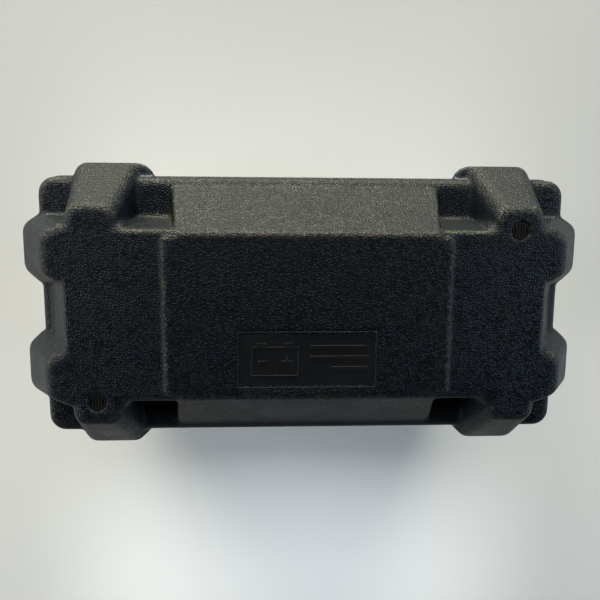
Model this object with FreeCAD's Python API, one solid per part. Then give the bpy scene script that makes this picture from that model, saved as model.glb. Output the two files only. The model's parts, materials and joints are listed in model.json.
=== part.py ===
"""Battery box: a double-walled moulded base and a ribbed, hinged lid, with latches, handles, vents and feet.

Millimetres. X is the long way, Y the short way with the hinges at +Y, and Z is up. The origin is on the
floor under the middle of the box. Every long face of the mouldings has draft, so most forms are lofts
between two outlines at two heights.
"""
import FreeCAD, Part
import math
import os

V = FreeCAD.Vector

# Heights
FOOT_H = 6.0
BASE_FLANGE_Z = 214.0
LINER_LIP_Z = 226.5
BASE_TOP_Z = 229.5
GASKET_TOP_Z = 231.7
LID_BOTTOM_Z = 232.0
RIM_TOP_Z = 246.0
HUMP_Z = 238.0
FACE_Z = 296.0
PANEL_Z = 299.0

# Lid outline, as half sizes from the middle
WALL = 3.0
RIM_X = 233.7
RIM_Y = 115.0
RIM_R = 15.0
RIM_ROUND = 7.0
BODY_FACE_X = 198.5
BODY_FACE_Y = 71.0
BODY_RIM_X = 228.0
BODY_RIM_Y = 81.0
PANEL_X = 118.4
PANEL_Y = 68.6
HILL_FACE_X = 108.0
HILL_RIM_X = 118.0
HILL_RIM_Y = 110.5
HILL_R = 3.0
BODY_R = 4.0
FACE_ROUND = 9.0
PANEL_SETBACK = 3.0
PANEL_DRAFT = 0.8
LABEL_X = (-58.9, 57.2)
LABEL_Y = (-59.8, -12.0)
LABEL_DEPTH = 1.0

# Lid ribs and their humps over the rim
RIB_FACE_X = (155.0, 195.5)
RIB_FACE_Y = 89.5
RIB_RIM_X = (146.5, 203.0)
RIB_ROUND = 8.0
RIB_CORNER = 12.0
HUMP_Y = 127.4
HUMP_REAR = ((132.0, 114.0), (136.5, 121.5), (141.5, 125.6), (148.0, 127.4), (194.0, 127.4), (205.0, 114.0))
HUMP_FRONT = ((140.0, 114.0), (147.0, 121.0), (153.0, 125.8), (159.0, 127.4), (190.0, 127.4), (209.0, 114.0))

# End bulges of the lid: (x, y) at the rim and on the face
BULGE_IN_X = 150.0
BULGE_RIM = ((235.0, 20.0), (250.0, 34.0), (250.0, 73.0), (235.0, 83.0))
BULGE_FACE = ((199.0, 28.0), (214.5, 35.0), (214.5, 67.0), (197.0, 75.0))
BULGE_ROUND = 8.0
BULGE_CORNER = 13.0

# Vents in the lid's face
VENT_X = 175.0
VENT_Y = 71.5
VENT_R = 7.0
VENT_FIT = 0.1
VENT_WALL = 1.2
VENT_DEPTH = 7.0
VENT_SINK = 0.4
VENT_BAR = 1.5
VENT_BARS = 4

# Lid liner
LINER_T = 2.5
LID_CAVITY_BOTTOM = (170.0, 74.0)
LID_CAVITY_TOP = (162.0, 62.0)
LID_CAVITY_Z = 286.0
LINER_PLATE = (229.0, 110.3)
LINER_PLATE_R = 11.0

# Base outline
BASE_BOTTOM = (208.0, 101.0)
BASE_TOP = (217.0, 107.0)
BASE_R = 18.0
FLANGE_LIP = 1.8
BASE_RIB_W = (62.0, 50.0)
BASE_RIB_BOTTOM_Y = 105.0
BASE_RIB_TOP_Y = 112.0
END_RIB_Y = (66.0, 97.0)
END_RIB_BOTTOM_X = 213.0
END_RIB_TOP_X = 225.0
END_RIB_CHAMFER = 4.0
PAD_W = 25.0
PAD_Y = 113.5
PAD_Z = (160.0, 214.0)
HANDLE_PAD_X = 219.0
HANDLE_PAD_Y = 62.0
HANDLE_PAD_Z = (168.0, 206.0)
BASE_ROUND = 6.0

# Base liner and what lies in it
BAY_BOTTOM = (188.0, 88.0)
BAY_TOP = (192.0, 90.0)
BAY_FLOOR_Z = 20.0
BAY_R = 12.0
LIP_PLATE = (229.0, 110.0)
GASKET_OUT = (222.0, 106.0)
GASKET_W = 7.0
MAT_T = 3.0
MAT_HALF = (152.0, 86.0)
MAT_PITCH = 20.0
MAT_GROOVE = 4.0
MAT_MARGIN = 8.0
DIVIDER_X = 158.0
DIVIDER_T = 4.0
DIVIDER_TOP_Z = 190.0
DIVIDER_GAP = 0.4
DIVIDER_FOOT = 18.0
DIVIDER_NOTCH_R = 22.0

# Rib lines and hardware
RIB_X = 175.0
HINGE_Y = 121.9
HINGE_Z = 225.7
KNUCKLE_R = 4.0
HINGE_PIN_R = 2.0
PIN_FIT = 0.05
LEAF_T = 1.8
LEAF_HALF_W = 22.0
LEAF_LOW_Z = 198.0
KNUCKLE_GAP = 0.4
LATCH_Z = 186.0
HOOK_R = 8.0
HOOK_HALF_W = 4.5
HOOK_Y = (-122.8, -119.6)
PEG_X = 11.0
PEG_Z = 212.0
PEG_R = 3.0
PEG_GAP = 0.4
HOOK_TIP_H = 5.6
HOOK_TIP_X = 16.0
LATCH_PLATE_Y = (-119.3, -113.5)
LATCH_PLATE_HALF = (17.0, 16.0)
THUMB_Z = (198.0, 216.0)
THUMB_OUT = 3.5
KEEPER_Y = (-119.2, -117.6)
KEEPER_X = (3.0, 21.0)
KEEPER_Z = 205.5
PIVOT_R = 3.0
PIVOT_HEAD_R = 6.0
PIVOT_HEAD_Y = (-125.0, -123.0)

# End handles
HANDLE_X = 227.5
HANDLE_Z = 187.0
HANDLE_ARM_Y = 50.0
HANDLE_DROP = 46.0
BAIL_R = 3.0
GRIP_R = 7.0
GRIP_HALF = 42.0
EAR_T = 3.0
EAR_R = 7.0
EAR_GAP = 0.4
BRACKET_T = 2.5
BRACKET_Z = (172.0, 202.0)
BRACKET_MARGIN = 9.0

# Small pieces
FOOT_X = 165.0
FOOT_Y = 74.0
FOOT_R = 14.0
SCREW_HEAD_R = 3.6
SCREW_R = 1.8
SCREW_HEAD_T = 1.6
GROMMET_Y = 40.0
GROMMET_Z = 90.0
GROMMET_R = 10.0
GROMMET_HOLE_R = 6.5
GROMMET_LIP_R = 13.0
GROMMET_LIP_T = 3.0
DRAIN_R = 7.0
DRAIN_X = 60.0


def box(x0, x1, y0, y1, z0, z1):
    low = V(min(x0, x1), min(y0, y1), min(z0, z1))
    return Part.makeBox(abs(x1 - x0), abs(y1 - y0), abs(z1 - z0), low)


def rod(r, start, end):
    axis = end - start
    return Part.makeCylinder(r, axis.Length, start, axis)


def outline(points, z):
    corners = [V(x, y, z) for x, y in points]
    return Part.makePolygon(corners + corners[:1])


def round_outline(half_x, half_y, r, z):
    """A rectangle about the Z axis whose corners are arcs."""
    edges = []
    in_x, in_y = half_x - r, half_y - r
    inner = [(in_x, in_y), (-in_x, in_y), (-in_x, -in_y), (in_x, -in_y)]
    for i, (x, y) in enumerate(inner):
        angles = [math.radians(90 * i + step) for step in (0, 45, 90)]
        arc = [V(x + r * math.cos(a), y + r * math.sin(a), z) for a in angles]
        edges.append(Part.Arc(*arc).toShape())
        x2, y2 = inner[(i + 1) % 4]
        turn = angles[2]
        edges.append(Part.makeLine(arc[2], V(x2 + r * math.cos(turn), y2 + r * math.sin(turn), z)))
    return Part.Wire(edges)


def loft(low, high):
    return Part.makeLoft([low, high], True, True)


def drafted(low, z0, high, z1, r):
    return loft(round_outline(low[0], low[1], r, z0), round_outline(high[0], high[1], r, z1))


def prism(points, z0, z1):
    return Part.Face(outline(points, z0)).extrude(V(0, 0, z1 - z0))


def corners(x0, x1, half_y):
    return [(x0, half_y), (x1, half_y), (x1, -half_y), (x0, -half_y)]


def mirrored(points, sx, sy):
    return [(sx * x, sy * y) for x, y in points]


def round_edges(shape, radius, wanted):
    """Fillets the edges that wanted picks, by a smaller radius where the full one can't be built."""
    edges = [e for e in shape.Edges if wanted(e)]
    for share in (1.0, 0.8, 0.6, 0.3):
        try:
            rounded = shape.makeFillet(radius * share, edges)
        except Part.OCCError:
            continue
        if rounded.isValid() and rounded.Volume > 0:
            return rounded
    return shape


def at_height(z):
    return lambda e: abs(e.BoundBox.ZMin - z) < 0.01 and abs(e.BoundBox.ZMax - z) < 0.01


def united(shapes):
    return shapes[0].multiFuse(shapes[1:]).removeSplitter()


def on_signs():
    return [(sx, sy) for sx in (-1, 1) for sy in (-1, 1)]


# Lid

def lid_start_z(t):
    """The forms that hollow the lid start a little below it, so that it is open underneath."""
    return LID_BOTTOM_Z - (1 if t else 0)


def lid_rim(t):
    half = (RIM_X - t, RIM_Y - t)
    slab = drafted(half, lid_start_z(t), half, RIM_TOP_Z - t, RIM_R - t)
    return round_edges(slab, RIM_ROUND - t, at_height(RIM_TOP_Z - t))


def lid_hump(sx, t):
    """The rim's lug at one long rib, over both long edges, wider on the side towards the middle."""
    middle = (RIB_RIM_X[0] + RIB_RIM_X[1]) / 2
    lugs = (HUMP_REAR, HUMP_FRONT)
    rear, front = [[(x + t if x < middle else x - t, y - t) for x, y in lug] for lug in lugs]
    points = rear + [(x, -y) for x, y in reversed(front)]
    return prism(mirrored(points, sx, 1), lid_start_z(t), HUMP_Z - t)


def lid_rib(sx, t):
    """A long rib from its foot in the rim to the face."""
    low = mirrored(corners(RIB_RIM_X[0] + t, RIB_RIM_X[1] - t, HUMP_Y - t), sx, 1)
    high = corners(RIB_FACE_X[0] + t, RIB_FACE_X[1] - t, RIB_FACE_Y - t)
    foot_z = HUMP_Z - 2 * WALL
    rib = loft(outline(low, HUMP_Z), outline(mirrored(high, sx, 1), FACE_Z - t))
    rib = round_edges(rib, RIB_CORNER - t, lambda e: e.BoundBox.ZLength > RIB_ROUND)
    rib = round_edges(rib, RIB_ROUND - t, at_height(FACE_Z - t))
    foot = prism(low, foot_z, HUMP_Z)
    foot = round_edges(foot, RIB_CORNER - t, lambda e: e.BoundBox.ZLength > WALL)
    return rib.fuse(foot)


def bulge_outline(points, t):
    low, high = points[0][1] + t, points[-1][1] - t
    outer = [(x - t, min(max(y, low), high)) for x, y in points]
    return [(BULGE_IN_X, low)] + outer + [(BULGE_IN_X, high)]


def lid_bulge(sx, sy, t):
    """One end bulge: upright by the rim, then sloping in to the face."""
    rim = mirrored(bulge_outline(BULGE_RIM, t), sx, sy)
    face = mirrored(bulge_outline(BULGE_FACE, t), sx, sy)
    outer_x = BULGE_FACE[0][0] - t
    outward = lambda e: min(abs(v.X) for v in e.Vertexes) > outer_x - 1 and e.BoundBox.ZLength > WALL
    foot = round_edges(prism(rim, lid_start_z(t), HUMP_Z), BULGE_CORNER - t, outward)
    slope = loft(outline(rim, HUMP_Z), outline(face, FACE_Z - t))
    slope = round_edges(slope, BULGE_CORNER - t, outward)
    slope = round_edges(slope, BULGE_ROUND - t, at_height(FACE_Z - t))
    return foot.fuse(slope)


def lid_body(t):
    low = (BODY_RIM_X - t, BODY_RIM_Y - t)
    high = (BODY_FACE_X - t, BODY_FACE_Y - t)
    body = drafted(low, RIM_TOP_Z - 2 * WALL, high, FACE_Z - t, BODY_R)
    return round_edges(body, FACE_ROUND - t, at_height(FACE_Z - t))


def lid_hill(t):
    """The slopes up from the long edges to the raised middle panel."""
    low = (HILL_RIM_X - t, HILL_RIM_Y - t)
    start, top = RIM_TOP_Z - WALL, PANEL_Z - t
    hill = drafted(low, start, (HILL_FACE_X - t, PANEL_Y - t), top, HILL_R)
    hill = round_edges(hill, FACE_ROUND - t, lambda e: at_height(top)(e) and e.BoundBox.YLength < 0.01)
    foot = drafted(low, lid_start_z(t), low, start, HILL_R)
    half = (PANEL_X - t, PANEL_Y - PANEL_SETBACK - t)
    panel_low = [side + PANEL_DRAFT for side in half]
    panel = drafted(panel_low, top - 2 * WALL, half, top, HILL_R)
    return [hill, foot, panel]


def lid_form(t):
    """The lid's whole solid form, with every face moved in by t."""
    forms = [lid_rim(t), lid_body(t)] + lid_hill(t)
    forms += [lid_hump(sx, t) for sx in (-1, 1)]
    forms += [lid_rib(sx, t) for sx in (-1, 1)]
    forms += [lid_bulge(sx, sy, t) for sx, sy in on_signs()]
    return united(forms)


def vent_places():
    return [("right", V(VENT_X, VENT_Y, 0)), ("left", V(-VENT_X, -VENT_Y, 0))]


def lid_outer_shell():
    shell = lid_form(0).cut(lid_form(WALL))
    label = box(*LABEL_X, *LABEL_Y, PANEL_Z - LABEL_DEPTH, PANEL_Z + 1)
    shell = shell.cut(label)
    for _, place in vent_places():
        start, end = place + V(0, 0, FACE_Z - 10), place + V(0, 0, FACE_Z + 1)
        shell = shell.cut(rod(VENT_R + VENT_FIT, start, end))
    return shell


def vent_plug(place):
    """A short tube with slats across its mouth, pressed into the lid's face."""
    top = FACE_Z - VENT_SINK
    tube = rod(VENT_R, place + V(0, 0, top - VENT_DEPTH), place + V(0, 0, top))
    tube = tube.cut(rod(VENT_R - VENT_WALL, place + V(0, 0, top - VENT_DEPTH - 1), place + V(0, 0, top + 1)))
    inside = rod(VENT_R - VENT_WALL / 2, place + V(0, 0, top - VENT_DEPTH), place + V(0, 0, top))
    pitch = 2 * (VENT_R - VENT_WALL) / (VENT_BARS + 1)
    bars = []
    for i in range(VENT_BARS):
        x = place.x + (i - (VENT_BARS - 1) / 2) * pitch
        half = VENT_BAR / 2
        bar = box(x - half, x + half, place.y - VENT_R, place.y + VENT_R, top - VENT_DEPTH / 2, top)
        bars.append(bar.common(inside))
    return united([tube] + bars)


def lid_inner_liner():
    plate = drafted(LINER_PLATE, LID_BOTTOM_Z, LINER_PLATE, LID_BOTTOM_Z + LINER_T, LINER_PLATE_R)
    bottom = [side + LINER_T for side in LID_CAVITY_BOTTOM]
    top = [side + LINER_T for side in LID_CAVITY_TOP]
    dome = drafted(bottom, LID_BOTTOM_Z, top, LID_CAVITY_Z + LINER_T, BAY_R)
    cavity = drafted(LID_CAVITY_BOTTOM, LID_BOTTOM_Z, LID_CAVITY_TOP, LID_CAVITY_Z, BAY_R - LINER_T)
    mouth = drafted(LID_CAVITY_BOTTOM, LID_BOTTOM_Z - 1, LID_CAVITY_BOTTOM, LID_BOTTOM_Z, BAY_R - LINER_T)
    return united([plate, dome]).cut(cavity).cut(mouth)


# Base

def flange_half(t):
    return (RIM_X + FLANGE_LIP - t, RIM_Y + FLANGE_LIP - t)


def long_rib_outline(x0, half_x, half_y):
    return corners(x0 - half_x, x0 + half_x, half_y)


def end_rib_outline(outer_x, t):
    y0, y1 = END_RIB_Y[0] + t, END_RIB_Y[1] - t
    slant = END_RIB_CHAMFER
    return [(BULGE_IN_X, y0), (outer_x, y0 + slant), (outer_x, y1 - slant), (BULGE_IN_X, y1)]


def base_form(t):
    """The base's whole solid form, with every wall face moved in by t and the floor raised by t."""
    floor = FOOT_H + t
    top = LINER_LIP_Z + (1 if t else 0)
    bottom_half = [side - t for side in BASE_BOTTOM]
    top_half = [side - t for side in BASE_TOP]
    body = drafted(bottom_half, floor, top_half, BASE_FLANGE_Z + t, BASE_R - t)
    if not t:
        body = round_edges(body, BASE_ROUND, at_height(floor))
    flange = drafted(flange_half(t), BASE_FLANGE_Z + t, flange_half(t), top, RIM_R + FLANGE_LIP - t)
    low_z, high_z = floor + BASE_ROUND, BASE_FLANGE_Z + t
    forms = [body, flange]
    for sx in (-1, 1):
        low = long_rib_outline(sx * RIB_X, BASE_RIB_W[1] / 2 - t, BASE_RIB_BOTTOM_Y - t)
        high = long_rib_outline(sx * RIB_X, BASE_RIB_W[0] / 2 - t, BASE_RIB_TOP_Y - t)
        forms.append(loft(outline(low, low_z), outline(high, high_z)))
    for sx, sy in on_signs():
        low = mirrored(end_rib_outline(END_RIB_BOTTOM_X - t, t), sx, sy)
        high = mirrored(end_rib_outline(END_RIB_TOP_X - t, t), sx, sy)
        forms.append(loft(outline(low, low_z), outline(high, high_z)))
    return united(forms)


def base_pads():
    """Flat pads on the front for the latches and on the ends for the handle brackets."""
    pads = []
    for sx in (-1, 1):
        x0 = sx * RIB_X
        in_x, out_x = sx * (BASE_TOP[0] - WALL), sx * HANDLE_PAD_X
        pads.append(box(x0 - PAD_W, x0 + PAD_W, -PAD_Y, -BASE_TOP[1] + 2, *PAD_Z))
        pads.append(box(in_x, out_x, -HANDLE_PAD_Y, HANDLE_PAD_Y, *HANDLE_PAD_Z))
    return pads


def grommet_places():
    return [("front", -GROMMET_Y), ("rear", GROMMET_Y)]


def floor_hole(r, x, y):
    return rod(r, V(x, y, FOOT_H - 1), V(x, y, FOOT_H + WALL + 1))


def base_outer_shell():
    solid = united([base_form(0)] + base_pads())
    shell = solid.cut(base_form(WALL))
    for _, y in grommet_places():
        shell = shell.cut(grommet_rod(GROMMET_R + VENT_FIT, BASE_BOTTOM[0] - 20, BASE_TOP[0] + 9, y))
    for sx, sy in on_signs():
        shell = shell.cut(floor_hole(SCREW_R + PIN_FIT, sx * FOOT_X, sy * FOOT_Y))
    return shell.cut(floor_hole(DRAIN_R + PIN_FIT, DRAIN_X, 0))


def base_inner_liner():
    lip = drafted(LIP_PLATE, LINER_LIP_Z, LIP_PLATE, BASE_TOP_Z, LINER_PLATE_R)
    outer_low = [side + LINER_T for side in BAY_BOTTOM]
    outer_high = [side + LINER_T for side in BAY_TOP]
    tub = drafted(outer_low, BAY_FLOOR_Z - LINER_T, outer_high, BASE_TOP_Z, BAY_R)
    bay = drafted(BAY_BOTTOM, BAY_FLOOR_Z, BAY_TOP, BASE_TOP_Z, BAY_R - LINER_T)
    mouth = drafted(BAY_TOP, BASE_TOP_Z, BAY_TOP, BASE_TOP_Z + 1, BAY_R - LINER_T)
    liner = united([lip, tub]).cut(bay).cut(mouth)
    for _, y in grommet_places():
        liner = liner.cut(grommet_rod(GROMMET_R + VENT_FIT, BAY_BOTTOM[0] - 5, BASE_BOTTOM[0], y))
    return liner


def lid_gasket():
    top = [side - 1 for side in GASKET_OUT]
    outer = drafted(GASKET_OUT, BASE_TOP_Z, top, GASKET_TOP_Z, LINER_PLATE_R)
    inside = [side - GASKET_W for side in GASKET_OUT]
    inner = drafted(inside, BASE_TOP_Z - 1, inside, GASKET_TOP_Z + 1, LINER_PLATE_R - 3)
    return outer.cut(inner)


def battery_mat():
    """A ribbed rubber mat that the battery stands on."""
    half_x, half_y = MAT_HALF
    mat = drafted((half_x, half_y), BAY_FLOOR_Z, (half_x, half_y), BAY_FLOOR_Z + MAT_T, BAY_R - LINER_T)
    top = BAY_FLOOR_Z + MAT_T
    reach = half_y - MAT_MARGIN
    grooves = int(half_x // MAT_PITCH)
    for i in range(-grooves, grooves + 1):
        x = i * MAT_PITCH
        mat = mat.cut(box(x - MAT_GROOVE / 2, x + MAT_GROOVE / 2, -reach, reach, top - 1, top + 1))
    return mat


def bay_half_y(z):
    share = (z - BAY_FLOOR_Z) / (BASE_TOP_Z - BAY_FLOOR_Z)
    return BAY_BOTTOM[1] + share * (BAY_TOP[1] - BAY_BOTTOM[1])


def bay_divider():
    """A plate across the bay that keeps the battery clear of the cable space."""
    low = bay_half_y(BAY_FLOOR_Z) - DIVIDER_GAP
    high = bay_half_y(DIVIDER_TOP_Z) - DIVIDER_GAP
    corners = [V(DIVIDER_X, -low, BAY_FLOOR_Z + 0.2), V(DIVIDER_X, low, BAY_FLOOR_Z + 0.2),
               V(DIVIDER_X, high, DIVIDER_TOP_Z), V(DIVIDER_X, -high, DIVIDER_TOP_Z)]
    plate = Part.Face(Part.makePolygon(corners + corners[:1])).extrude(V(DIVIDER_T, 0, 0))
    start, end = V(DIVIDER_X - 1, 0, DIVIDER_TOP_Z), V(DIVIDER_X + DIVIDER_T + 1, 0, DIVIDER_TOP_Z)
    notch = rod(DIVIDER_NOTCH_R, start, end)
    reach = low - 10
    foot = box(DIVIDER_X, DIVIDER_X + DIVIDER_FOOT, -reach, reach, BAY_FLOOR_Z + 0.2, BAY_FLOOR_Z + 3.2)
    return united([plate.cut(notch), foot])


# Hinges

def knuckle_spans(x0, for_base):
    """One leaf of a hinge with five knuckles: the base leaf has the outer and middle ones."""
    width = 2 * LEAF_HALF_W / 5
    spans = []
    for i in range(5):
        if (i % 2 == 0) == for_base:
            start = x0 - LEAF_HALF_W + i * width
            spans.append((start + KNUCKLE_GAP / 2, start + width - KNUCKLE_GAP / 2))
    return spans


def hinge_rod(r, x_start, x_end):
    return rod(r, V(x_start, HINGE_Y, HINGE_Z), V(x_end, HINGE_Y, HINGE_Z))


def hinge_leaf(x0, for_base):
    x_low, x_high = x0 - LEAF_HALF_W, x0 + LEAF_HALF_W
    bore = hinge_rod(HINGE_PIN_R + PIN_FIT, x_low - 1, x_high + 1)
    face_y = RIM_Y + FLANGE_LIP
    under, over = HINGE_Z - KNUCKLE_R, HINGE_Z + KNUCKLE_R
    if for_base:
        pieces = [box(x_low, x_high, face_y, face_y + LEAF_T, LEAF_LOW_Z, under - 0.5)]
    else:
        pieces = [box(x_low, x_high, HINGE_Y - 14, HINGE_Y + 2, LID_BOTTOM_Z - LEAF_T, LID_BOTTOM_Z)]
    for x_start, x_end in knuckle_spans(x0, for_base):
        pieces.append(hinge_rod(KNUCKLE_R, x_start, x_end))
        if for_base:
            pieces.append(box(x_start, x_end, face_y, face_y + LEAF_T, under - 1, HINGE_Z))
            pieces.append(box(x_start, x_end, face_y, HINGE_Y, under, under + LEAF_T))
        else:
            pieces.append(box(x_start, x_end, HINGE_Y - 1, HINGE_Y + 2, over - 1, LID_BOTTOM_Z - 0.5))
    return united(pieces).cut(bore)


def hinge_pin(x0):
    reach = LEAF_HALF_W + 1.5
    pin = hinge_rod(HINGE_PIN_R, x0 - reach, x0 + reach)
    heads = [hinge_rod(HINGE_PIN_R + 1, x0 + s * (LEAF_HALF_W + 0.2), x0 + s * reach) for s in (-1, 1)]
    return united([pin] + heads)


# Latches

def latch_plate(x0):
    half_x, half_z = LATCH_PLATE_HALF
    plate = box(x0 - half_x, x0 + half_x, *LATCH_PLATE_Y, LATCH_Z - half_z, LATCH_Z + half_z)
    return round_edges(plate, 5.0, lambda e: e.BoundBox.YLength > 5)


def latch_hook(x0, side):
    """A flat hook that lies level when open, and turns up over the keeper's peg, towards side."""
    y0, y1 = HOOK_Y
    tip_low = PEG_Z + PEG_R + PEG_GAP
    boss = rod(HOOK_R, V(x0, y0, LATCH_Z), V(x0, y1, LATCH_Z))
    shank = box(x0 - HOOK_HALF_W, x0 + HOOK_HALF_W, y0, y1, LATCH_Z, tip_low + HOOK_TIP_H)
    tip = box(x0 - side * HOOK_HALF_W, x0 + side * HOOK_TIP_X, y0, y1, tip_low, tip_low + HOOK_TIP_H)
    thumb = box(x0 - side * HOOK_HALF_W, x0 - side * (HOOK_HALF_W - 3), y0 - THUMB_OUT, y1, *THUMB_Z)
    hook = united([boss, shank, tip, thumb])
    hook.rotate(V(x0, 0, LATCH_Z), V(0, 1, 0), -90 * side)
    bore = rod(PIVOT_R + PIN_FIT, V(x0, y0 - 5, LATCH_Z), V(x0, y1 + 1, LATCH_Z))
    return hook.cut(bore)


def latch_pivot(x0):
    pin = rod(PIVOT_R, V(x0, PIVOT_HEAD_Y[1], LATCH_Z), V(x0, LATCH_PLATE_Y[0], LATCH_Z))
    head = rod(PIVOT_HEAD_R, V(x0, PIVOT_HEAD_Y[0], LATCH_Z), V(x0, PIVOT_HEAD_Y[1], LATCH_Z))
    head = round_edges(head, 1.2, lambda e: abs(e.BoundBox.YMax - PIVOT_HEAD_Y[0]) < 0.01)
    return united([pin, head])


def latch_keeper(x0, side):
    x1, x2 = x0 + side * KEEPER_X[0], x0 + side * KEEPER_X[1]
    plate = box(x1, x2, *KEEPER_Y, KEEPER_Z, LID_BOTTOM_Z)
    foot = box(x1, x2, KEEPER_Y[0], -RIM_Y + 6, LID_BOTTOM_Z - (KEEPER_Y[1] - KEEPER_Y[0]), LID_BOTTOM_Z)
    return united([plate, foot])


def latch_peg(x0, side):
    """The peg that the hook catches, riveted to the front of the keeper."""
    peg_x = x0 + side * PEG_X
    return rod(PEG_R, V(peg_x, HOOK_Y[0] - 0.7, PEG_Z), V(peg_x, KEEPER_Y[0], PEG_Z))


# End handles

def handle_rod(r, sx, y0, y1, z):
    return rod(r, V(sx * HANDLE_X, min(y0, y1), z), V(sx * HANDLE_X, max(y0, y1), z))


def handle_bracket(sx):
    """A plate on the end pad with two ears that carry the handle's ends."""
    face = sx * HANDLE_PAD_X
    half_y = HANDLE_ARM_Y + BRACKET_MARGIN
    pieces = [box(face, face + sx * BRACKET_T, -half_y, half_y, *BRACKET_Z)]
    for sy in (-1, 1):
        y0 = sy * (HANDLE_ARM_Y + BAIL_R + EAR_GAP)
        y1 = y0 + sy * EAR_T
        pieces.append(handle_rod(EAR_R, sx, y0, y1, HANDLE_Z))
        pieces.append(box(face, sx * HANDLE_X, y0, y1, HANDLE_Z - EAR_R, HANDLE_Z + EAR_R))
    bore = handle_rod(BAIL_R + PIN_FIT, sx, -half_y - EAR_R, half_y + EAR_R, HANDLE_Z)
    return united(pieces).cut(bore)


def handle_bail(sx):
    """Bent round bar: two pivots in the ears, two arms, and the bar that runs through the grip."""
    x, low = sx * HANDLE_X, HANDLE_Z - HANDLE_DROP
    pivot_end = HANDLE_ARM_Y + BAIL_R + EAR_GAP + EAR_T + 1
    pieces = [handle_rod(BAIL_R, sx, -HANDLE_ARM_Y, HANDLE_ARM_Y, low)]
    for arm_y, end_y in ((HANDLE_ARM_Y, pivot_end), (-HANDLE_ARM_Y, -pivot_end)):
        pieces.append(handle_rod(BAIL_R, sx, arm_y, end_y, HANDLE_Z))
        pieces.append(rod(BAIL_R, V(x, arm_y, low), V(x, arm_y, HANDLE_Z)))
        pieces += [Part.makeSphere(BAIL_R, V(x, arm_y, z)) for z in (low, HANDLE_Z)]
    return united(pieces)


def handle_grip(sx):
    low = HANDLE_Z - HANDLE_DROP
    grip = handle_rod(GRIP_R, sx, -GRIP_HALF, GRIP_HALF, low)
    grip = round_edges(grip, 2.0, lambda e: e.BoundBox.YLength < 0.01)
    return grip.cut(handle_rod(BAIL_R + 0.02, sx, -GRIP_HALF - 1, GRIP_HALF + 1, low))


# Small pieces

def foot(x, y):
    """A round rubber foot under the floor, with a plug up through the floor's hole."""
    pad = rod(FOOT_R, V(x, y, 0), V(x, y, FOOT_H))
    pad = round_edges(pad, 1.5, at_height(0))
    return united([pad, rod(SCREW_R, V(x, y, FOOT_H), V(x, y, FOOT_H + WALL))])


def grommet_rod(r, x0, x1, y):
    return rod(r, V(x0, y, GROMMET_Z), V(x1, y, GROMMET_Z))


def grommet(y):
    """A rubber sleeve through both walls of the right-hand end, for the battery's cables."""
    start, end = BAY_BOTTOM[0] - 3, BASE_TOP[0] + 3
    sleeve = grommet_rod(GROMMET_R, start, end, y)
    lip = grommet_rod(GROMMET_LIP_R, end - 1, end - 1 + GROMMET_LIP_T, y)
    return united([sleeve, lip]).cut(grommet_rod(GROMMET_HOLE_R, start - 1, end + 9, y))


def drain_plug():
    stem = rod(DRAIN_R, V(DRAIN_X, 0, FOOT_H), V(DRAIN_X, 0, FOOT_H + WALL))
    head = rod(DRAIN_R + 3, V(DRAIN_X, 0, FOOT_H - 2.5), V(DRAIN_X, 0, FOOT_H))
    return united([stem, head])


def screw(place, direction):
    """A pan-head screw whose head stands on the surface at place, with direction pointing out of it."""
    head = rod(SCREW_HEAD_R, place, place + direction * SCREW_HEAD_T)
    low, high = SCREW_HEAD_T - 0.7, SCREW_HEAD_T + 1
    arm = SCREW_HEAD_R / 1.6
    cross = box(-SCREW_HEAD_R, SCREW_HEAD_R, -0.4, 0.4, low, high).fuse(box(-0.4, 0.4, -arm, arm, low, high))
    cross.Placement = FreeCAD.Placement(place, FreeCAD.Rotation(V(0, 0, 1), direction))
    return head.cut(cross)


def handle_screws():
    face = HANDLE_PAD_X + BRACKET_T
    places = [(sx, sy * 26.0, z) for sx, sy in on_signs() for z in (178.0, 196.0)]
    return Part.makeCompound([screw(V(sx * face, y, z), V(sx, 0, 0)) for sx, y, z in places])


def latch_screws():
    screws = []
    for sx in (-1, 1):
        for x, z in ((-12.0, -11.5), (12.0, -11.5), (12.0, 11.5)):
            screws.append(screw(V(sx * (RIB_X + x), LATCH_PLATE_Y[0], LATCH_Z + z), V(0, -1, 0)))
    return Part.makeCompound(screws)


def hinge_screws():
    face = RIM_Y + FLANGE_LIP + LEAF_T
    places = [sx * RIB_X + x for sx in (-1, 1) for x in (-14.0, 0.0, 14.0)]
    return Part.makeCompound([screw(V(x, face, 207.0), V(0, 1, 0)) for x in places])


def liner_screws():
    places = [(x, sy * 88.0) for x in (-100.0, -50.0, 0.0, 50.0, 100.0) for sy in (-1, 1)]
    places += [(sx * 195.0, y) for sx in (-1, 1) for y in (-45.0, 45.0)]
    return Part.makeCompound([screw(V(x, y, LID_BOTTOM_Z), V(0, 0, -1)) for x, y in places])


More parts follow.
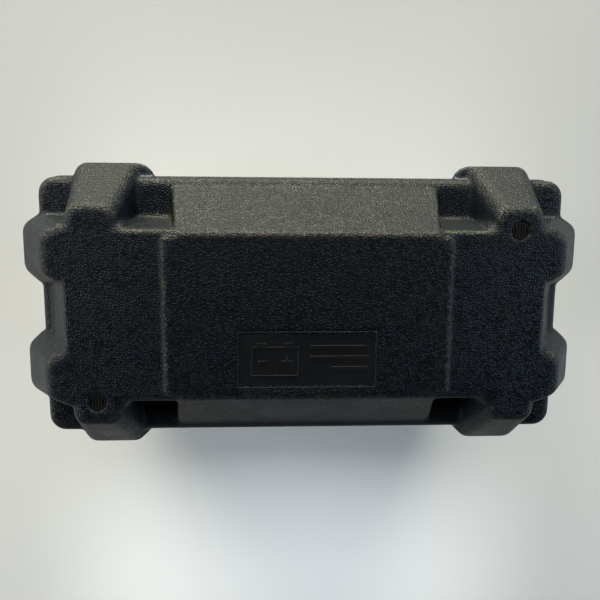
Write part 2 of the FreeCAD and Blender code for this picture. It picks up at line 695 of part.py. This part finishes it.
def all_parts():
    parts = {
        "lid_outer_shell": lid_outer_shell(),
        "lid_inner_liner": lid_inner_liner(),
        "liner_screws": liner_screws(),
        "base_outer_shell": base_outer_shell(),
        "base_inner_liner": base_inner_liner(),
        "lid_gasket": lid_gasket(),
        "battery_mat": battery_mat(),
        "bay_divider": bay_divider(),
        "drain_plug": drain_plug(),
        "handle_screws": handle_screws(),
        "hinge_screws": hinge_screws(),
        "latch_screws": latch_screws(),
    }
    for name, place in vent_places():
        parts[f"vent_plug_{name}"] = vent_plug(place)
    for name, sx in (("left", -1), ("right", 1)):
        x0 = sx * RIB_X
        parts[f"hinge_leaf_base_{name}"] = hinge_leaf(x0, True)
        parts[f"hinge_leaf_lid_{name}"] = hinge_leaf(x0, False)
        parts[f"hinge_pin_{name}"] = hinge_pin(x0)
        parts[f"latch_plate_{name}"] = latch_plate(x0)
        parts[f"latch_hook_{name}"] = latch_hook(x0, sx)
        parts[f"latch_pivot_{name}"] = latch_pivot(x0)
        parts[f"latch_keeper_{name}"] = latch_keeper(x0, sx)
        parts[f"latch_peg_{name}"] = latch_peg(x0, sx)
        parts[f"handle_bracket_{name}"] = handle_bracket(sx)
        parts[f"handle_bail_{name}"] = handle_bail(sx)
        parts[f"handle_grip_{name}"] = handle_grip(sx)
    for end, sx in (("left", -1), ("right", 1)):
        for row, sy in (("front", -1), ("rear", 1)):
            parts[f"foot_{row}_{end}"] = foot(sx * FOOT_X, sy * FOOT_Y)
    for row, y in grommet_places():
        parts[f"cable_grommet_{row}"] = grommet(y)
    return parts


def main():
    os.makedirs("parts", exist_ok=True)
    for name, shape in all_parts().items():
        print(name, "valid" if shape.isValid() else "NOT VALID", len(shape.Solids), round(shape.Volume))
        shape.exportStep(f"parts/{name}.step")


main()
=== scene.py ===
"""Battery box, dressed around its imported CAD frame: grained mouldings, hardware, floor and lights."""
import bpy
import bmesh
import json
import math
import numpy as np
from mathutils import Matrix, Vector


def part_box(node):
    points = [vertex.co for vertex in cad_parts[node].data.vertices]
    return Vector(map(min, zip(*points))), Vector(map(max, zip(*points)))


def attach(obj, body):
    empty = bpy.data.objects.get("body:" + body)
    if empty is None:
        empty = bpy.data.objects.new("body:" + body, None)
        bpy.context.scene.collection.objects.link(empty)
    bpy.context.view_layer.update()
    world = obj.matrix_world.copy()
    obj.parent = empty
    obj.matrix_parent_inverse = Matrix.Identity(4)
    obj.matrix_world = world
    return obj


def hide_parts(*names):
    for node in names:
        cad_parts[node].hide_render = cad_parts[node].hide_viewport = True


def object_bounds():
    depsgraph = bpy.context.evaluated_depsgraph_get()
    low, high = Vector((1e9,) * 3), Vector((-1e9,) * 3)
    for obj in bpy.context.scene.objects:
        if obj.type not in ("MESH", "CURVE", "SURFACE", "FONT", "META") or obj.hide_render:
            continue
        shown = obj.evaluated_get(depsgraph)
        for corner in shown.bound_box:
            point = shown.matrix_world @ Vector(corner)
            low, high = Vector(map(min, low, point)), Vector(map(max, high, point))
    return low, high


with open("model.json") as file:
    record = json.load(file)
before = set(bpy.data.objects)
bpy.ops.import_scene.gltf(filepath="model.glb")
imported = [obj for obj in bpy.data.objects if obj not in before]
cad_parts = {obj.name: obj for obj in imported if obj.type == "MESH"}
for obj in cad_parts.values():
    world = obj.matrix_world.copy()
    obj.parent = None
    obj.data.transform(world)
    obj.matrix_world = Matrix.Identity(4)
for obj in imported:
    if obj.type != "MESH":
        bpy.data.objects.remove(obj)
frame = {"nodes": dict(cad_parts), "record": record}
CAD_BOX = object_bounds()

MM = 0.001
TOP = CAD_BOX[1][2]
PANEL_STEP = 3.0 * MM
FACE_Z = TOP - PANEL_STEP
LID_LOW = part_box("lid_outer_shell")[0][2]
LID_VOXEL = 1.6 * MM
PANEL_HALF_X, PANEL_HALF_Y = 118.4 * MM, 66.0 * MM
LABEL_X = (-58.9 * MM, 57.2 * MM)
LABEL_Y = (-59.8 * MM, -12.0 * MM)
SIDES = ("left", "right")
GRAIN_SCALE = 440.0
GRAIN_DEPTH, GRAIN_SWAY = 0.00040, 0.0018
VENT_CENTRES = [[(a + b) / 2 for a, b in zip(*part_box("vent_plug_" + side))][:2] for side in SIDES]
LABEL_DEPTH, LABEL_BORDER = 0.8 * MM, 0.8 * MM
LOBE_X, LOBE_Y = 145.5 * MM, 114.5 * MM
GRIP_PITCH, GRIP_GROOVE = 4.6 * MM, 0.9 * MM
EDGE_WIDTHS = (("base_inner", 1.2 * MM), ("lid_inner", 1.0 * MM), ("battery_mat", 0.8 * MM),
               ("bay_div", 0.8 * MM), ("foot", 1.5 * MM), ("cable", 1.0 * MM), ("lid_gasket", 0.5 * MM),
               ("drain", 0.8 * MM))
HARDWARE_EDGE = 0.4 * MM
BASE_VOXEL = 1.9 * MM
# How far an edge must stand out to take the full paler edge colour, which is partly rubbed wear and partly
# painted highlight.
WEAR_AND_HIGHLIGHT_FULL, HOLLOW_FULL = 0.28 * MM, 0.45 * MM
VIEW_TURN = (2.9, 8.32, 0.37)
VIEW_AIM = (-0.00708, 0.01406)
VIEW_DISTANCE = 0.50656
VIEW_LENS = 36.97
FLOOR_HALF = 2.8
PARTS = {part["node"]: part for part in frame["record"]["subparts"]}
BODY_OF = {node: body for body, nodes in frame["record"]["behaviour"]["bodies"].items() for node in nodes}


# Mesh helpers

def link(name, mesh):
    piece = bpy.data.objects.new(name, mesh)
    bpy.context.scene.collection.objects.link(piece)
    return piece


def applied(piece):
    """The piece's mesh with its modifiers applied."""
    graph = bpy.context.evaluated_depsgraph_get()
    mesh = bpy.data.meshes.new_from_object(piece.evaluated_get(graph))
    piece.modifiers.clear()
    piece.data = mesh
    return piece


def coordinates(mesh):
    co = np.empty(len(mesh.vertices) * 3, dtype=np.float32)
    mesh.vertices.foreach_get("co", co)
    return co.reshape(-1, 3).astype(np.float64)


def set_coordinates(mesh, co):
    mesh.vertices.foreach_set("co", co.astype(np.float32).ravel())
    mesh.update()


def edge_ends(mesh):
    ends = np.empty(len(mesh.edges) * 2, dtype=np.int32)
    mesh.edges.foreach_get("vertices", ends)
    return ends.reshape(-1, 2)


def neighbour_mean(values, ends, counts):
    """For each vertex, the mean of values over the vertices it shares an edge with."""
    total = np.empty_like(values)
    for k in range(values.shape[1]):
        total[:, k] = (np.bincount(ends[:, 0], values[ends[:, 1], k], len(values))
                       + np.bincount(ends[:, 1], values[ends[:, 0], k], len(values)))
    return total / counts[:, None]


def relax(mesh, rounds, weight):
    """Rounds creases off, by weight at each vertex."""
    co, ends = coordinates(mesh), edge_ends(mesh)
    counts = np.maximum(np.bincount(ends.ravel(), minlength=len(co)), 1)
    for _ in range(rounds):
        co += weight[:, None] * (neighbour_mean(co, ends, counts) - co)
    set_coordinates(mesh, co)


def mark(mesh, name, values):
    layer = mesh.attributes.new(name, "FLOAT", "POINT")
    layer.data.foreach_set("value", values.astype(np.float32))


def mark_edges_and_hollows(mesh, rounds=4, extra=0.0):
    """Stores how far each vertex stands out of its surroundings, 0 in hollows and flats to 1 on edges."""
    co, ends = coordinates(mesh), edge_ends(mesh)
    counts = np.maximum(np.bincount(ends.ravel(), minlength=len(co)), 1)
    wide = co.copy()
    for _ in range(rounds):
        wide = neighbour_mean(wide, ends, counts)
    normals = np.empty(len(co) * 3, dtype=np.float32)
    mesh.vertices.foreach_get("normal", normals)
    standing = ((co - wide) * normals.reshape(-1, 3)).sum(axis=1)
    # The edge mark lightens edges as partly rubbed wear and partly painted highlight; extra adds painted
    # highlight on top.
    mark(mesh, "edge_wear_and_highlight", np.clip(standing / WEAR_AND_HIGHLIGHT_FULL + extra, 0, 1))
    mark(mesh, "hollow", np.clip(-standing / HOLLOW_FULL, 0, 1))


def smooth_shaded(mesh):
    mesh.polygons.foreach_set("use_smooth", [True] * len(mesh.polygons))


def remeshed(node, name, voxel):
    """A new piece with the node's shape, in even quads."""
    piece = link(name, frame["nodes"][node].data.copy())
    piece.data.materials.clear()
    remesh = piece.modifiers.new("remesh", "REMESH")
    remesh.mode = "VOXEL"
    remesh.voxel_size = voxel
    remesh.use_smooth_shade = True
    return applied(piece)


def use(piece, material, body, node=None):
    piece.data.materials.clear()
    piece.data.materials.append(material)
    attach(piece, body)
    if node:
        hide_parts(node)


# Materials

class Nodes:
    """Short calls for building one material's nodes."""

    def __init__(self, name):
        self.material = bpy.data.materials.new(name)
        self.material.use_nodes = True
        self.tree = self.material.node_tree
        self.shader = self.tree.nodes["Principled BSDF"]

    def add(self, kind, settings=(), **inputs):
        node = self.tree.nodes.new(kind)
        for key, value in dict(settings).items():
            setattr(node, key, value)
        for key, value in inputs.items():
            self.feed(node.inputs[key.replace("_", " ")], value)
        return node

    def feed(self, socket, value):
        if isinstance(value, bpy.types.NodeSocket):
            self.tree.links.new(value, socket)
        else:
            socket.default_value = value

    def place(self):
        return self.add("ShaderNodeTexCoord").outputs["Object"]

    def noise(self, scale, detail=3.0, rough=0.5):
        settings = {"Scale": scale, "Detail": detail, "Roughness": rough}
        return self.add("ShaderNodeTexNoise", Vector=self.place(), **settings).outputs["Fac"]

    def mapped(self, value, low, high, to_low=0.0, to_high=1.0):
        node = self.add("ShaderNodeMapRange", {"interpolation_type": "SMOOTHSTEP"}, Value=value)
        for socket, number in zip(node.inputs[1:5], (low, high, to_low, to_high)):
            socket.default_value = number
        return node.outputs["Result"]

    def math(self, kind, a, b):
        node = self.add("ShaderNodeMath", {"operation": kind})
        self.feed(node.inputs[0], a)
        self.feed(node.inputs[1], b)
        return node.outputs[0]

    def mix(self, amount, a, b):
        node = self.add("ShaderNodeMix", {"data_type": "RGBA"})
        self.feed(node.inputs[0], amount)
        self.feed(node.inputs[6], a)
        self.feed(node.inputs[7], b)
        return node.outputs[2]

    def attribute(self, name):
        return self.add("ShaderNodeAttribute", {"attribute_name": name}).outputs["Fac"]

    def bump(self, height, distance):
        return self.add("ShaderNodeBump", Height=height, Distance=distance, Strength=1.0).outputs["Normal"]


def grained_plastic():
    """Black moulded plastic with a pebbled leather grain, painted highlights on the pebble tops, painted
    shade in the pebble creases, dusty hollows, and paler edges that are partly rubbed wear and partly
    painted highlight.
    """
    n = Nodes("leather_grained_plastic")
    place = n.place()
    sway = n.add("ShaderNodeTexNoise", Vector=place, Scale=110.0, Detail=2.0).outputs["Color"]
    moved = n.add("ShaderNodeVectorMath", {"operation": "MULTIPLY_ADD"})
    n.feed(moved.inputs[0], sway)
    moved.inputs[1].default_value = (GRAIN_SWAY,) * 3
    n.feed(moved.inputs[2], place)
    cells = n.add("ShaderNodeTexVoronoi", {"feature": "DISTANCE_TO_EDGE"}, Vector=moved.outputs[0],
                  Scale=GRAIN_SCALE, Randomness=0.85)
    pebble = n.mapped(cells.outputs["Distance"], 0.0, 0.38)
    wrinkle = n.noise(GRAIN_SCALE, 2.0, 0.6)
    height = n.math("ADD", n.math("MULTIPLY", pebble, 0.8), n.math("MULTIPLY", wrinkle, 0.18))
    grain = n.attribute("grain")
    wear_and_highlight = n.math("MULTIPLY", n.attribute("edge_wear_and_highlight"), grain)
    height = n.math("MULTIPLY", height, grain)
    normal = n.bump(height, GRAIN_DEPTH)
    tone = n.mapped(n.noise(9.0, 4.0), 0.35, 0.7)
    base = n.mix(tone, (0.0010, 0.0040, 0.0095, 1), (0.0022, 0.0056, 0.0118, 1))
    # Painted highlight: the tops of the grain pebbles are made lighter blue-grey in colour.
    crown_painted_highlight = n.math("MULTIPLY", n.mapped(pebble, 0.5, 1.0), grain)
    base = n.mix(n.math("MULTIPLY", crown_painted_highlight, 0.45), base, (0.0085, 0.0140, 0.0200, 1))
    # Painted shade: the creases between the grain pebbles are darkened to near black; the same mask also
    # makes them rougher.
    crease_painted_shade = n.math("MULTIPLY", n.mapped(pebble, 0.0, 0.75, 1.0, 0.0), grain)
    base = n.mix(crease_painted_shade, base, (0.0006, 0.0009, 0.0014, 1))
    dusty = n.math("MULTIPLY", n.attribute("hollow"), n.mapped(n.noise(38.0, 4.0, 0.65), 0.40, 0.62))
    base = n.mix(n.math("MULTIPLY", dusty, 0.12), base, (0.060, 0.055, 0.036, 1))
    # Paler tan on edges: partly real rubbed wear, partly painted highlight, including a painted highlight
    # line on the panel's step ridge.
    rubbed_and_highlight = n.math("MULTIPLY", n.mapped(wear_and_highlight, 0.30, 1.0), n.mapped(n.noise(420.0, 4.0, 0.7), 0.42, 0.72))
    base = n.mix(n.math("MULTIPLY", rubbed_and_highlight, 0.30), base, (0.11, 0.100, 0.062, 1))
    n.feed(n.shader.inputs["Base Color"], base)
    rough = n.mapped(n.noise(40.0, 3.0), 0.3, 0.7, 0.35, 0.42)
    n.feed(n.shader.inputs["Roughness"], n.math("ADD", rough, n.math("MULTIPLY", crease_painted_shade, 0.12)))
    n.shader.inputs["Specular IOR Level"].default_value = 0.12
    n.feed(n.shader.inputs["Normal"], normal)
    return n.material


def smooth_plastic(name, colour, rough, gloss=0.4):
    n = Nodes(name)
    n.shader.inputs["Specular IOR Level"].default_value = gloss
    tone = n.mapped(n.noise(60.0, 3.0), 0.3, 0.7)
    darker = [c * 0.75 for c in colour[:3]] + [1]
    n.feed(n.shader.inputs["Base Color"], n.mix(tone, darker, colour))
    n.feed(n.shader.inputs["Roughness"], n.mapped(n.noise(25.0, 4.0), 0.3, 0.7, rough - 0.05, rough + 0.07))
    n.feed(n.shader.inputs["Normal"], n.bump(n.noise(900.0, 2.0), 0.00004))
    return n.material


def rubber():
    n = Nodes("matte_rubber")
    tone = n.mapped(n.noise(120.0, 4.0), 0.3, 0.7)
    n.feed(n.shader.inputs["Base Color"], n.mix(tone, (0.010, 0.010, 0.010, 1), (0.022, 0.021, 0.020, 1)))
    n.feed(n.shader.inputs["Roughness"], n.mapped(n.noise(70.0, 3.0), 0.3, 0.7, 0.75, 0.9))
    n.feed(n.shader.inputs["Normal"], n.bump(n.noise(1500.0, 3.0), 0.00006))
    return n.material


def coated_steel():
    """Black powder coat with a fine orange-peel texture."""
    n = Nodes("black_powder_coat")
    tone = n.mapped(n.noise(80.0, 3.0), 0.3, 0.7)
    n.feed(n.shader.inputs["Base Color"], n.mix(tone, (0.014, 0.014, 0.015, 1), (0.026, 0.026, 0.027, 1)))
    n.feed(n.shader.inputs["Roughness"], n.mapped(n.noise(200.0, 2.0), 0.3, 0.7, 0.36, 0.46))
    n.feed(n.shader.inputs["Normal"], n.bump(n.noise(1300.0, 2.0), 0.00008))
    return n.material


def zinc_steel():
    n = Nodes("zinc_plated_steel")
    tone = n.mapped(n.noise(300.0, 4.0, 0.7), 0.3, 0.7)
    n.feed(n.shader.inputs["Base Color"], n.mix(tone, (0.42, 0.42, 0.40, 1), (0.62, 0.62, 0.60, 1)))
    n.shader.inputs["Metallic"].default_value = 1.0
    n.feed(n.shader.inputs["Roughness"], n.mapped(n.noise(500.0, 3.0), 0.3, 0.7, 0.28, 0.42))
    n.feed(n.shader.inputs["Normal"], n.bump(n.noise(1600.0, 2.0), 0.00003))
    return n.material


def floor_paint():
    """Pale matt paint with a painted pool of light: lightest just in front of the box, with painted shade
    towards the back, out to the sides and past the front.
    """
    n = Nodes("pale_floor_painted_light_pool")
    axes = n.add("ShaderNodeSeparateXYZ", Vector=n.place())
    # Painted light and shade: the floor colour darkens towards the back, past the front edge and out to the
    # sides.
    along_painted_light = n.mapped(axes.outputs["Y"], -0.42, 0.45, 1.0, 0.0)
    near = n.mapped(axes.outputs["Y"], -0.62, -0.45, 0.0, 1.0)
    across_painted_light = n.mapped(n.math("ABSOLUTE", axes.outputs["X"], 0.0), 0.15, 0.40, 1.0, 0.35)
    tone = n.math("MULTIPLY", n.math("MULTIPLY", along_painted_light, near), across_painted_light)
    n.feed(n.shader.inputs["Base Color"], n.mix(tone, (0.33, 0.322, 0.325, 1), (0.90, 0.88, 0.85, 1)))
    n.shader.inputs["Roughness"].default_value = 0.8
    return n.material


MATERIALS = {
    "shell_plastic": grained_plastic(),
    "liner_plastic": smooth_plastic("satin_liner_plastic", (0.022, 0.023, 0.025, 1), 0.42),
    "trim_plastic": smooth_plastic("satin_trim_plastic", (0.0055, 0.0062, 0.0072, 1), 0.46),
    "label": smooth_plastic("smooth_label_plastic", (0.0034, 0.0040, 0.0050, 1), 0.48, 0.16),
    "vent": smooth_plastic("dark_vent_plastic", (0.0042, 0.0038, 0.0034, 1), 0.55, 0.16),
    "rubber": rubber(),
    "black_steel": coated_steel(),
    "screw_steel": zinc_steel(),
}


# Mouldings

def faded(distance, near, far):
    """1 up to near, falling to 0 at far."""
    return np.clip((far - distance) / (far - near), 0, 1)


def lid_skin():
    """The lid's outer shell with the rounded creases that a blown moulding has."""
    skin = remeshed("lid_outer_shell", "lid_skin", LID_VOXEL)
    mesh = skin.data
    co = coordinates(mesh)
    x, y, z = np.abs(co[:, 0]), np.abs(co[:, 1]), co[:, 2]
    weight = 0.5 * np.clip((z - LID_LOW - 1.5 * MM) / (4 * MM), 0, 1)
    step = faded(np.abs(x - PANEL_HALF_X), 2 * MM, 6 * MM) * (z > FACE_Z - 3 * MM) * (y < PANEL_HALF_Y)
    relax(mesh, 5, weight * (1 - 0.85 * step))
    foot = faded(np.abs(z - LID_LOW - 14 * MM), 3 * MM, 8 * MM) * (x < LOBE_X)
    relax(mesh, 8, 0.5 * foot)
    # Painted highlight: a light line along the raised edge of the panel's step, added to the edge mark.
    ridge_painted_highlight = faded(np.abs(x - PANEL_HALF_X + 0.6 * MM), 0.6 * MM, 2.2 * MM) * (z > FACE_Z + 1.2 * MM)
    mark_edges_and_hollows(mesh, extra=0.8 * ridge_painted_highlight)
    vents = np.min([np.hypot(*(co[:, :2] - centre).T) for centre in VENT_CENTRES], axis=0)
    lobe = (x < LOBE_X) * (y > LOBE_Y) * (z < LID_LOW + 12 * MM)
    mark(mesh, "grain", (1 - faded(vents, 6.8 * MM, 8 * MM)) * (1 - 0.8 * lobe))
    smooth_shaded(mesh)
    use(skin, MATERIALS["shell_plastic"], "lid", "lid_outer_shell")
    return skin


def base_skin():
    skin = remeshed("base_outer_shell", "base_skin", BASE_VOXEL)
    mesh = skin.data
    relax(mesh, 3, np.full(len(mesh.vertices), 0.35))
    mark_edges_and_hollows(mesh)
    mark(mesh, "grain", np.ones(len(mesh.vertices)))
    smooth_shaded(mesh)
    use(skin, MATERIALS["shell_plastic"], "base", "base_outer_shell")
    return skin


def softened(node, width):
    """A copy of the node with its edges rounded off by width."""
    source = frame["nodes"][node]
    piece = link(node + "_rounded", source.data.copy())
    shape = bmesh.new()
    shape.from_mesh(piece.data)
    bmesh.ops.remove_doubles(shape, verts=shape.verts, dist=0.002 * MM)
    bmesh.ops.dissolve_limit(shape, angle_limit=math.radians(1.0), verts=shape.verts, edges=shape.edges)
    shape.to_mesh(piece.data)
    shape.free()
    bevel = piece.modifiers.new("bevel", "BEVEL")
    bevel.width = width
    bevel.segments = 3
    bevel.limit_method = "ANGLE"
    bevel.angle_limit = math.radians(38)
    bevel.use_clamp_overlap = True
    applied(piece)
    smooth_shaded(piece.data)
    piece.data.set_sharp_from_angle(angle=math.radians(32))
    finish = "vent" if node.startswith("vent") else PARTS[node]["material_slot"]
    use(piece, MATERIALS[finish], BODY_OF[node], node)
    return piece


def turned(name, profile, middle, sides=40):
    """A closed form turned about the Y axis through middle; the profile is (y, radius) from end to end."""
    shape = bmesh.new()
    rings = []
    for y, r in profile:
        ring = []
        for i in range(sides):
            a = 2 * math.pi * i / sides
            place = (middle[0] + r * math.cos(a), middle[1] + y, middle[2] + r * math.sin(a))
            ring.append(shape.verts.new(place))
        rings.append(ring)
    for low, high in zip(rings, rings[1:]):
        for i in range(sides):
            j = (i + 1) % sides
            shape.faces.new((low[i], high[i], high[j], low[j]))
    shape.faces.new(rings[0])
    shape.faces.new(rings[-1][::-1])
    bmesh.ops.recalc_face_normals(shape, faces=shape.faces)
    mesh = bpy.data.meshes.new(name)
    shape.to_mesh(mesh)
    shape.free()
    return link(name, mesh)


def handle_grip(side):
    """A soft grip with raised rings along it and swollen ends."""
    node = "handle_grip_" + side
    low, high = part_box(node)
    middle = [(a + b) / 2 for a, b in zip(low, high)]
    half, radius = (high[1] - low[1]) / 2, (high[2] - low[2]) / 2
    profile = []
    steps = 168
    for i in range(steps + 1):
        y = half * (2 * i / steps - 1)
        end = half - abs(y)
        ring = 0.5 - 0.5 * math.cos(2 * math.pi * y / GRIP_PITCH)
        r = radius - GRIP_GROOVE * ring ** 2 * min(1, max(0, (end - 6 * MM) / (4 * MM)))
        if end < 2 * MM:
            r -= 2 * MM - math.sqrt(max(0, (2 * MM) ** 2 - (2 * MM - end) ** 2))
        profile.append((y, r))
    piece = turned(node + "_ringed", profile, middle)
    smooth_shaded(piece.data)
    use(piece, MATERIALS[PARTS[node]["material_slot"]], BODY_OF[node], node)
    return piece


def raised(shape, points, z0, z1, bevel):
    """Adds a low block over the outline, with its top edge taken in by bevel."""
    middle = Vector((sum(p[0] for p in points) / len(points), sum(p[1] for p in points) / len(points)))
    low = [shape.verts.new((x, y, z0)) for x, y in points]
    side = [shape.verts.new((x, y, z1 - bevel)) for x, y in points]
    top = []
    for x, y in points:
        inward = Vector((math.copysign(bevel, middle.x - x), math.copysign(bevel, middle.y - y)))
        top.append(shape.verts.new((x + inward.x, y + inward.y, z1)))
    count = len(points)
    for a, b in ((low, side), (side, top)):
        for i in range(count):
            j = (i + 1) % count
            shape.faces.new((a[i], a[j], b[j], b[i]))
    shape.faces.new(top)
    shape.faces.new(low[::-1])


def block(shape, x0, x1, y0, y1, z0, z1, bevel=0.15 * MM):
    raised(shape, [(x0, y0), (x1, y0), (x1, y1), (x0, y1)], z0, z1, bevel)


def label_plate():
    """The smooth plate let into the panel: a thin border, a plain battery sign and some bars."""
    x0, x1 = LABEL_X
    y0, y1 = LABEL_Y
    floor_z, edge_z = TOP - LABEL_DEPTH, TOP - 0.1 * MM
    sign_z = floor_z + 0.40 * MM
    shape = bmesh.new()
    block(shape, x0, x1, y0, y1, TOP - 1.2 * MM, floor_z)
    w = LABEL_BORDER
    block(shape, x0, x1, y0, y0 + w, floor_z - 0.2 * MM, edge_z)
    block(shape, x0, x1, y1 - w, y1, floor_z - 0.2 * MM, edge_z)
    block(shape, x0, x0 + w, y0 + w, y1 - w, floor_z - 0.2 * MM, edge_z)
    block(shape, x1 - w, x1, y0 + w, y1 - w, floor_z - 0.2 * MM, edge_z)

    def mark_block(cx, cy, half_x, half_y):
        block(shape, cx - half_x, cx + half_x, cy - half_y, cy + half_y, floor_z - 0.1 * MM, sign_z)

    cx, cy = x0 + 0.27 * (x1 - x0), (y0 + y1) / 2 - 1.5 * MM
    half_x, half_y, line = 20 * MM, 12 * MM, 0.7 * MM
    mark_block(cx, cy + half_y, half_x, line)
    mark_block(cx, cy - half_y, half_x, line)
    mark_block(cx - half_x + line, cy, line, half_y - line)
    mark_block(cx + half_x - line, cy, line, half_y - line)
    for side in (-1, 1):
        mark_block(cx + side * 11 * MM, cy + half_y + 2.4 * MM, 4 * MM, 1.6 * MM)
        mark_block(cx + side * 10 * MM, cy, 4.2 * MM, 0.9 * MM)
    mark_block(cx + 10 * MM, cy + 2.6 * MM, 0.9 * MM, 1.6 * MM)
    mark_block(cx + 10 * MM, cy - 2.6 * MM, 0.9 * MM, 1.6 * MM)
    bars_x = x0 + 0.73 * (x1 - x0)
    for row, half in enumerate((24, 24, 15)):
        mark_block(bars_x + (24 - half) * MM, y1 - (13 + 9 * row) * MM, half * MM, 1.5 * MM)
    mesh = bpy.data.meshes.new("label_plate")
    shape.to_mesh(mesh)
    shape.free()
    piece = link("label_plate", mesh)
    use(piece, MATERIALS["label"], "lid")
    return piece


def dress_cad_nodes():
    """Gives every CAD node the finish of its material slot."""
    for part in PARTS.values():
        node = frame["nodes"][part["node"]]
        material = MATERIALS[part["material_slot"]]
        if not node.data.materials:
            node.data.materials.append(material)
        for i in range(len(node.data.materials)):
            node.data.materials[i] = material


def soften_hardware():
    for node in PARTS:
        if node.startswith(("lid_outer", "base_outer", "handle_grip")):
            continue
        softened(node, next((w for start, w in EDGE_WIDTHS if node.startswith(start)), HARDWARE_EDGE))


# Stage

def floor():
    mesh = bpy.data.meshes.new("floor")
    corners = [(x * FLOOR_HALF, y * FLOOR_HALF, 0) for x, y in ((-1, -1), (1, -1), (1, 1), (-1, 1))]
    mesh.from_pydata(corners, [], [(0, 1, 2, 3)])
    piece = link("floor", mesh)
    piece.data.materials.append(floor_paint())


def area_light(name, place, target, size, power, colour):
    light = bpy.data.lights.new(name, "AREA")
    light.shape = "RECTANGLE"
    light.size, light.size_y = size
    light.energy = power
    light.color = colour
    lamp = bpy.data.objects.new(name, light)
    lamp.location = place
    lamp.rotation_euler = (Vector(target) - Vector(place)).to_track_quat("-Z", "Y").to_euler()
    bpy.context.scene.collection.objects.link(lamp)


def lights():
    """Broad soft windows low around the box, the brightest behind the hinges, and little from above."""
    middle = (0, 0, 0.25)
    area_light("back", (-0.3, 3.2, 0.42), middle, (4.0, 0.7), 580.0, (1.0, 0.97, 0.72))
    area_light("left", (-3.0, 0.2, 0.8), middle, (3.0, 1.2), 105.0, (0.92, 0.98, 1.0))
    area_light("right", (3.0, 0.1, 0.8), middle, (3.0, 1.2), 72.0, (0.62, 0.82, 1.0))
    area_light("front", (0.0, -3.0, 0.4), middle, (3.2, 0.7), 12.0, (0.90, 0.96, 1.0))
    area_light("top", (0.0, 1.7, 2.6), middle, (2.4, 1.2), 68.0, (0.92, 0.96, 1.0))
    world = bpy.data.worlds.new("surround")
    bpy.context.scene.world = world
    world.use_nodes = True
    tree = world.node_tree
    back = tree.nodes["Background"]
    back.inputs["Color"].default_value = (0.80, 0.88, 1.0, 1)
    back.inputs["Strength"].default_value = 0.02
    far = tree.nodes.new("ShaderNodeBackground")
    far.inputs["Color"].default_value = (0.62, 0.62, 0.60, 1)
    seen = tree.nodes.new("ShaderNodeLightPath")
    either = tree.nodes.new("ShaderNodeMixShader")
    tree.links.new(seen.outputs["Is Camera Ray"], either.inputs[0])
    tree.links.new(back.outputs[0], either.inputs[1])
    tree.links.new(far.outputs[0], either.inputs[2])
    tree.links.new(either.outputs[0], tree.nodes["World Output"].inputs["Surface"])
    bpy.context.scene.view_settings.view_transform = "Standard"


def camera():
    """Nearly straight down on the lid, leaning a little towards the hinges and to the left."""
    yaw, pitch, roll = (math.radians(a) for a in VIEW_TURN)
    aim = Vector((*VIEW_AIM, FACE_Z))
    back = Vector((-math.sin(yaw) * math.cos(pitch), math.sin(pitch), math.cos(yaw) * math.cos(pitch)))
    right = Vector((0, 1, 0)).cross(back).normalized()
    up = back.cross(right)
    turned_right = right * math.cos(roll) + up * math.sin(roll)
    turned_up = up * math.cos(roll) - right * math.sin(roll)
    place = aim + back * VIEW_DISTANCE
    lens = bpy.data.cameras.new("camera")
    lens.sensor_width = 36.0
    lens.lens = VIEW_LENS
    lens.clip_start = 0.01
    shot = bpy.data.objects.new("camera", lens)
    axes = Matrix((turned_right, turned_up, back)).transposed().to_4x4()
    shot.matrix_world = Matrix.Translation(place) @ axes
    bpy.context.scene.collection.objects.link(shot)
    bpy.context.scene.camera = shot


dress_cad_nodes()
lid_skin()
label_plate()
base_skin()
soften_hardware()
for side in SIDES:
    handle_grip(side)
floor()
lights()
camera()
